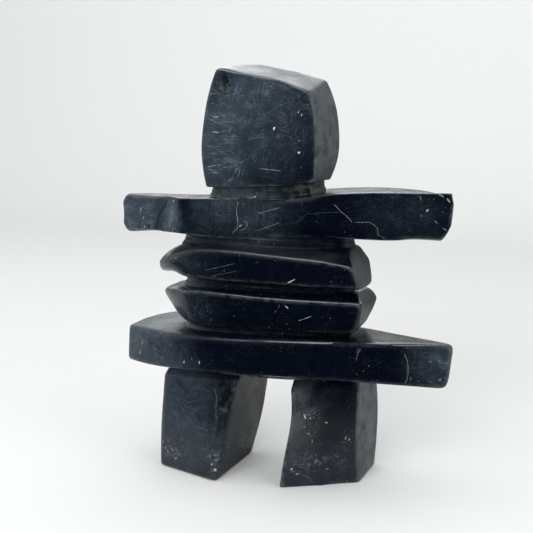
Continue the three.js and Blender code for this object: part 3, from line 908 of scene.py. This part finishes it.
# Roughness: satin wax, duller under the chest, at the ends, under the bloom, in scratches and in marks.
CHEST_MIDDLE, CHEST_REACH = (0, 146), (85, 8)  # X and Z, in mm
gloss = total([
    0.15,
    region(CHEST_MIDDLE, CHEST_REACH, 0.14),
    sums("MULTIPLY", ends, 0.24),
    mottle(16, 5, 0.3, 0.7, 0.1),
    sums("MULTIPLY", bloom_and_sheen, 0.35),
    sums("MULTIPLY", rough, 0.12),
    sums("MULTIPLY", scuffs, 0.1),
    between(mark, 0, 0.3, 0.3),
])

# Relief too small for the mesh: the grain of the raw stone, and the soft dents left by sanding.
GRAIN_SIZE, DENT_SIZE, RELIEF = 0.9, 6, 0.5  # mm
grain = {"Vector": spot, "Scale": 1 / GRAIN_SIZE, "Detail": 5, "Roughness": 0.6}
grain = put("ShaderNodeTexNoise", grain).outputs["Fac"]
dents = {"Vector": spot, "Scale": 1 / DENT_SIZE, "Detail": 3, "Roughness": 0.5}
dents = put("ShaderNodeTexNoise", dents).outputs["Fac"]
relief = total([
    sums("MULTIPLY", grain, sums("ADD", sums("MULTIPLY", rough, 0.3), 0.02)),
    sums("MULTIPLY", dents, 0.11),
    sums("MULTIPLY", scuffs, -0.03),
])
bump = put("ShaderNodeBump", {"Strength": 1.0, "Distance": MM * RELIEF, "Height": relief})

WAX_SHINE = 0.3
finish = nodes.nodes["Principled BSDF"]
nodes.links.new(colour, finish.inputs["Base Color"])
nodes.links.new(gloss, finish.inputs["Roughness"])
nodes.links.new(bump.outputs[0], finish.inputs["Normal"])
finish.inputs["Specular IOR Level"].default_value = WAX_SHINE

mesh.materials.clear()
mesh.materials.append(stone)
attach(carving, "root")
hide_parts("carved_cairn")

# ==============================================================================================
# The floor: a wide sheet of white paper that curves up into a backdrop, rolled out on a table.
# ==============================================================================================

FLOOR_FRONT = -1.5
FLOOR_BACK = 1.0
SWEEP_RADIUS = 0.5
SWEEP_TOP = 2.2
SWEEP_WIDTH = 6.0
SWEEP_STEPS = 24
PAPER_WHITE = (0.84, 0.845, 0.84, 1)

profile = [(FLOOR_FRONT, 0.0)]
for i in range(SWEEP_STEPS + 1):
    turn = math.pi / 2 * i / SWEEP_STEPS
    profile.append((FLOOR_BACK + SWEEP_RADIUS * math.sin(turn), SWEEP_RADIUS * (1 - math.cos(turn))))
profile.append((FLOOR_BACK + SWEEP_RADIUS, SWEEP_TOP))
sweep = bpy.data.meshes.new("floor")
sweep.from_pydata(
    [(side * SWEEP_WIDTH / 2, y, z) for y, z in profile for side in (-1, 1)],
    [],
    [(2 * i, 2 * i + 1, 2 * i + 3, 2 * i + 2) for i in range(len(profile) - 1)],
)
sweep.polygons.foreach_set("use_smooth", [True] * len(sweep.polygons))
floor = bpy.data.objects.new("floor", sweep)
bpy.context.scene.collection.objects.link(floor)
paper = bpy.data.materials.new("paper")
paper.use_nodes = True
sheet = paper.node_tree.nodes["Principled BSDF"]
sheet.inputs["Base Color"].default_value = PAPER_WHITE
sheet.inputs["Roughness"].default_value = 0.95
sheet.inputs["Specular IOR Level"].default_value = 0.1
sweep.materials.append(paper)

# ==============================================================================================
# The studio: soft light from above and from both sides, and black cards in front, which only the
# polished faces see, so that they reflect the dark room behind the camera.
# ==============================================================================================


CARD_LIFT = 0.002  # of the cards that lie on the paper
CARD_BLACK = (0.004, 0.006, 0.010, 1)
CARD_GLOW = (0.95, 0.98, 1, 1)


def soft_light(name, place, target, size, power):
    """A square of cloth with a lamp behind it: its width and height in metres, and its power in watts."""
    lamp = bpy.data.lights.new(name, "AREA")
    lamp.shape = "RECTANGLE"
    lamp.size, lamp.size_y = size
    lamp.energy = power
    holder = bpy.data.objects.new(name, lamp)
    holder.location = place
    holder.rotation_euler = (Vector(target) - Vector(place)).to_track_quat("-Z", "Y").to_euler()
    bpy.context.scene.collection.objects.link(holder)
    return holder


def card(name, corners, glow):
    """A flat card that only reflections see: black, or glowing with this strength."""
    shape = bpy.data.meshes.new(name)
    shape.from_pydata(corners, [], [(0, 1, 2, 3)])
    made = bpy.data.objects.new(name, shape)
    felt = bpy.data.materials.new(name)
    felt.use_nodes = True
    coat = felt.node_tree.nodes["Principled BSDF"].inputs
    coat["Base Color"].default_value = CARD_BLACK
    coat["Specular IOR Level"].default_value = 0
    coat["Emission Color"].default_value = CARD_GLOW
    coat["Emission Strength"].default_value = glow
    shape.materials.append(felt)
    made.visible_camera = False
    made.visible_diffuse = False
    made.visible_shadow = False
    made.visible_transmission = False
    bpy.context.scene.collection.objects.link(made)


def flat_card(name, left, right, front, back, glow=0):
    """A card lying on the paper."""
    corners = [(left, front), (right, front), (right, back), (left, back)]
    card(name, [(x, y, CARD_LIFT) for x, y in corners], glow)


def wall_card(name, start, end, low, high, glow=0, lean=0):
    """A card standing from one place in plan to another. lean is how far its top is nearer the front."""
    (x0, y0), (x1, y1) = start, end
    card(name, [(x0, y0, low), (x1, y1, low), (x1, y1 - lean, high), (x0, y0 - lean, high)], glow)


flat_card("floor_card", left=-1.1, right=1.3, front=-1.4, back=-0.085)
flat_card("side_card", left=0.12, right=1.3, front=-0.085, back=0.1)
flat_card("right_floor_card", left=0.12, right=1.1, front=0.42, back=0.92, glow=0.3)
wall_card("room_card", (-1.8, -1.4), (2.4, -1.4), low=0, high=2.6)
wall_card("wall_card", (2.4, -1.4), (1.3, 0.3), low=0, high=1.4, glow=0.04)
wall_card("right_card", (0.22, 0.93), (1.3, 0.3), low=0, high=1.4, glow=0.55)
wall_card("low_back_card", (-1.3, 0.92), (0.2, 0.92), low=0, high=0.32, glow=0.3)
wall_card("back_card", (-1.3, 0.9), (0.1, 0.9), low=0.33, high=1.1, glow=2.4, lean=0.1)
card("top_card", [(-0.45, -0.3, 1.2), (0.3, -0.3, 1.2), (0.3, 0.1, 1.2), (-0.45, 0.1, 1.2)], glow=11)

soft_light("top_light", (-0.25, 0.05, 1.5), (0, 0, 0.1), size=(1.3, 1.1), power=4.5)
soft_light("left_light", (-1.4, -0.1, 0.7), (0, 0, 0.12), size=(0.8, 1.1), power=1.5)
front_light = soft_light("front_light", (-0.2, -1.7, 0.8), (0, 0, 0), size=(1.6, 1), power=28)
front_light.visible_glossy = False
right_light = soft_light("right_light", (1.5, -0.5, 0.9), (0, 0, 0), size=(1, 1), power=6)
right_light.visible_glossy = False

ROOM_COLOUR = (0.97, 0.985, 1, 1)
ROOM_STRENGTH = 0.61
world = bpy.data.worlds.new("room")
world.use_nodes = True
world.node_tree.nodes["Background"].inputs["Color"].default_value = ROOM_COLOUR
world.node_tree.nodes["Background"].inputs["Strength"].default_value = ROOM_STRENGTH
bpy.context.scene.world = world
bpy.context.scene.view_settings.view_transform = "Standard"

# ==============================================================================================
# The camera: held at the height of the head, a little to the right of the front.
# ==============================================================================================

FOCAL_LENGTH, SENSOR_WIDTH = 65.1, 36  # mm
CAMERA_PLACE = (0.19115, -0.55407, 0.238)
CAMERA_TILT, CAMERA_TURN = 79.9, 20  # degrees from straight down, and from straight ahead

lens = bpy.data.cameras.new("camera")
lens.lens = FOCAL_LENGTH
lens.sensor_width = SENSOR_WIDTH
camera = bpy.data.objects.new("camera", lens)
camera.location = CAMERA_PLACE
camera.rotation_euler = (math.radians(CAMERA_TILT), 0, math.radians(CAMERA_TURN))
bpy.context.scene.collection.objects.link(camera)
bpy.context.scene.camera = camera
